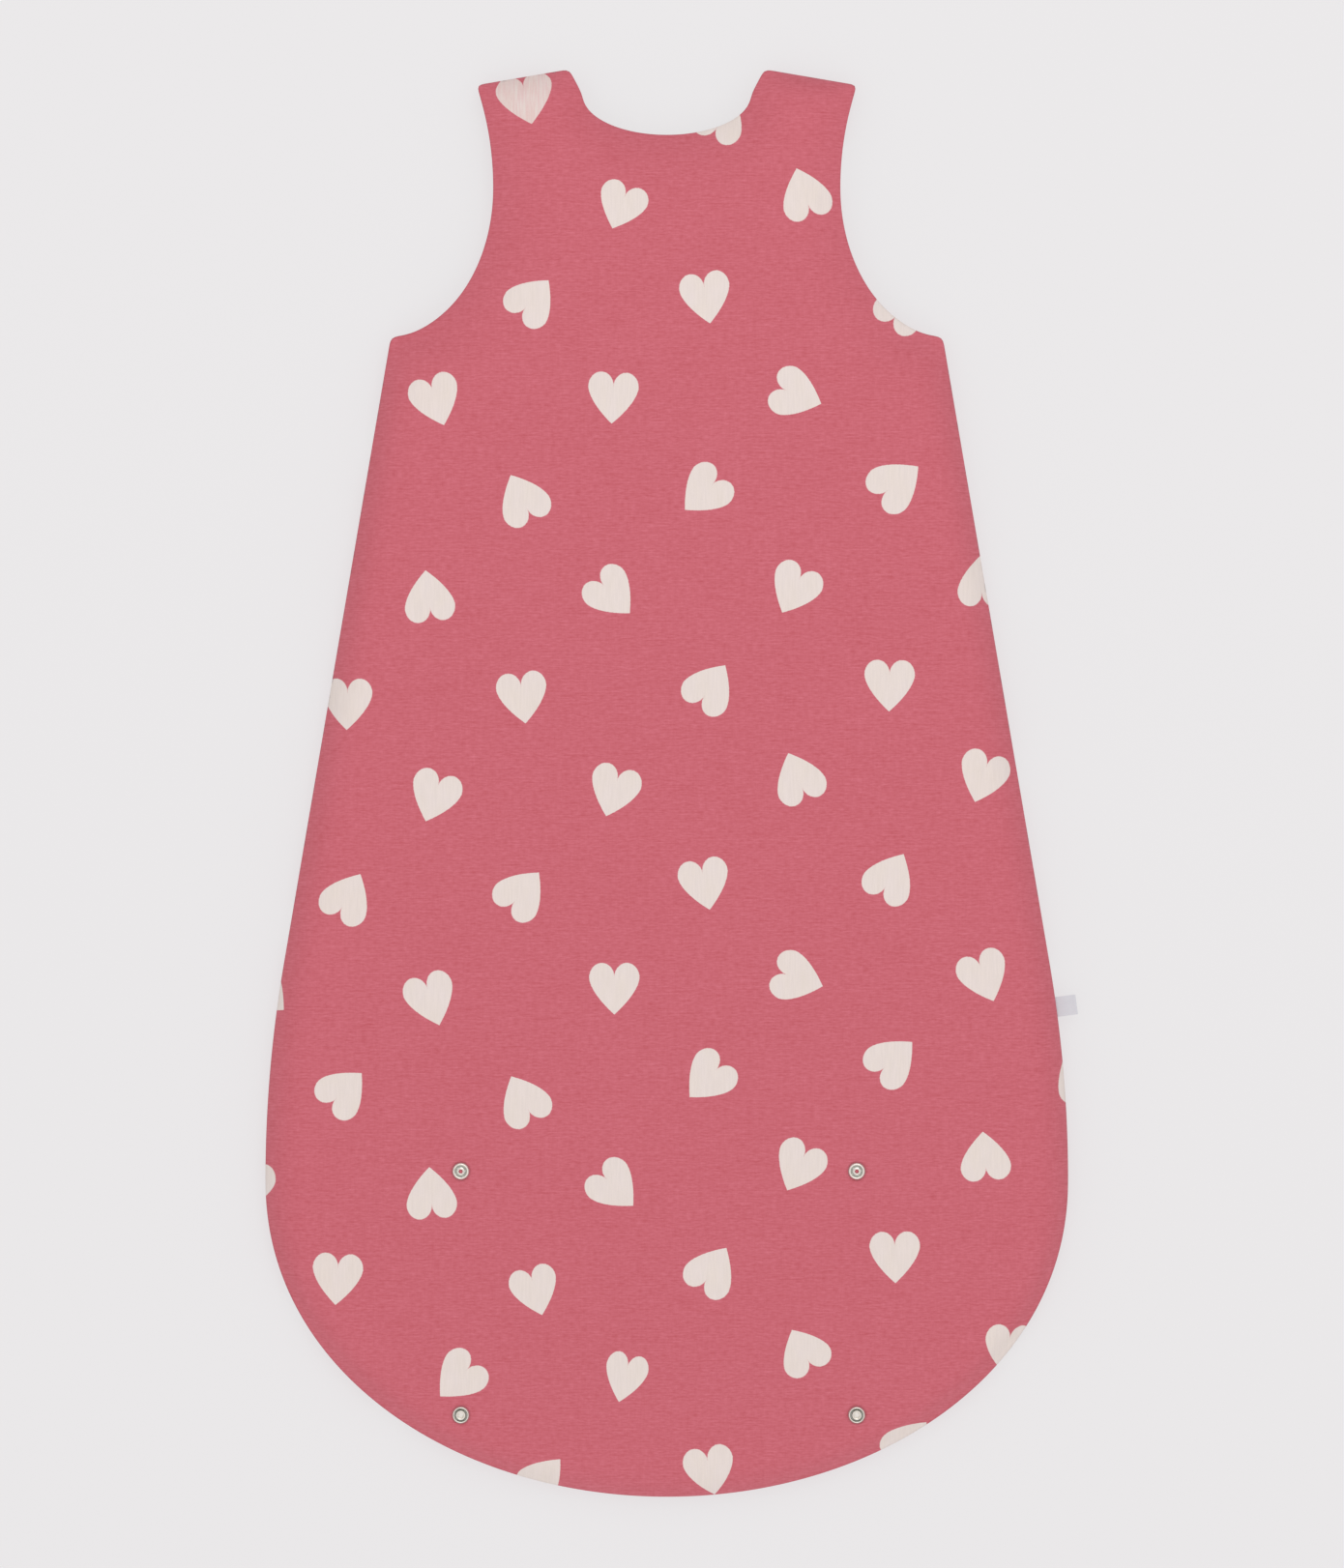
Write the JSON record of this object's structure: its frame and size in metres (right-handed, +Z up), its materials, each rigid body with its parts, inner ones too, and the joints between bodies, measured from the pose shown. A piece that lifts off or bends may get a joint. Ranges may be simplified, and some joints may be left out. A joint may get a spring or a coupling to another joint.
{
  "type": "baby sleeping bag",
  "caption": "Sleeveless padded baby sleeping bag, wide and round at the foot, with a front zip and snaps that hold its foot folded up.",
  "frame": {"origin": "on the floor under the middle of the bag's length and width, as it lies on its front", "axes": "+X to the wearer's right as the back is seen from above, +Y from the foot to the neck, +Z up from the floor, out of the back"},
  "size_m": [0.5122, 0.9, 0.029],
  "materials": {
    "jersey_print": "matte cotton jersey, printed with pale hearts",
    "lining_jersey": "matte plain cotton jersey",
    "wadding": "soft polyester wadding",
    "zip_tape": "woven tape",
    "zip_coil": "moulded coil teeth",
    "zip_metal": "polished nickel",
    "snap_metal": "polished nickel",
    "side_label": "woven ribbon, plain",
    "care_label": "satin ribbon, plain"
  },
  "bodies": {
    "bag": {"back_shell": "jersey_print", "back_wadding": "wadding", "back_lining": "lining_jersey", "front_left_shell": "jersey_print", "front_left_wadding": "wadding", "front_left_lining": "lining_jersey", "front_right_shell": "jersey_print", "front_right_wadding": "wadding", "front_right_lining": "lining_jersey", "zip_chain_end": "zip_coil", "zip_end_tapes": "zip_tape", "zip_bottom_stop": "zip_metal", "length_studs": "snap_metal", "stud_prong_rings": "snap_metal", "side_label": "side_label", "care_label": "care_label"},
    "foot": {"foot_back_shell": "jersey_print", "foot_back_wadding": "wadding", "foot_back_lining": "lining_jersey", "foot_front_shell": "jersey_print", "foot_front_wadding": "wadding", "foot_front_lining": "lining_jersey", "length_sockets": "snap_metal", "socket_prong_rings": "snap_metal"},
    "left_flap": {"left_flap_shell": "jersey_print", "left_flap_wadding": "wadding", "left_flap_lining": "lining_jersey", "left_zip_tape": "zip_tape", "left_zip_coil": "zip_coil", "left_top_stop": "zip_metal"},
    "right_flap": {"right_flap_shell": "jersey_print", "right_flap_wadding": "wadding", "right_flap_lining": "lining_jersey", "right_zip_tape": "zip_tape", "right_zip_coil": "zip_coil", "right_top_stop": "zip_metal"},
    "slider": {"zip_slider": "zip_metal"},
    "pull": {"zip_pull": "zip_metal"}
  },
  "joints": [
    {"name": "foot_folds", "type": "hinge", "parent": "bag", "child": "foot", "pos_m": [0, -0.32035, 0.0283], "axis": [-1, 0, 0], "range_deg": [0, 180]},
    {"name": "left_flap_opens", "type": "hinge", "parent": "bag", "child": "left_flap", "pos_m": [-0.016, -0.2589, 0], "axis": [-0.0491, 0.9988, 0], "range_deg": [0, 170]},
    {"name": "right_flap_opens", "type": "hinge", "parent": "bag", "child": "right_flap", "pos_m": [0.016, -0.2589, 0], "axis": [-0.0491, -0.9988, 0], "range_deg": [0, 170]},
    {"name": "zip_slides", "type": "slide", "parent": "bag", "child": "slider", "axis": [0, -1, 0], "range_m": [-0.628, 0]},
    {"name": "pull_swings", "type": "hinge", "parent": "slider", "child": "pull", "pos_m": [0, -0.2829, 0.00125], "axis": [-1, 0, 0], "range_deg": [0, 165]}
  ]
}
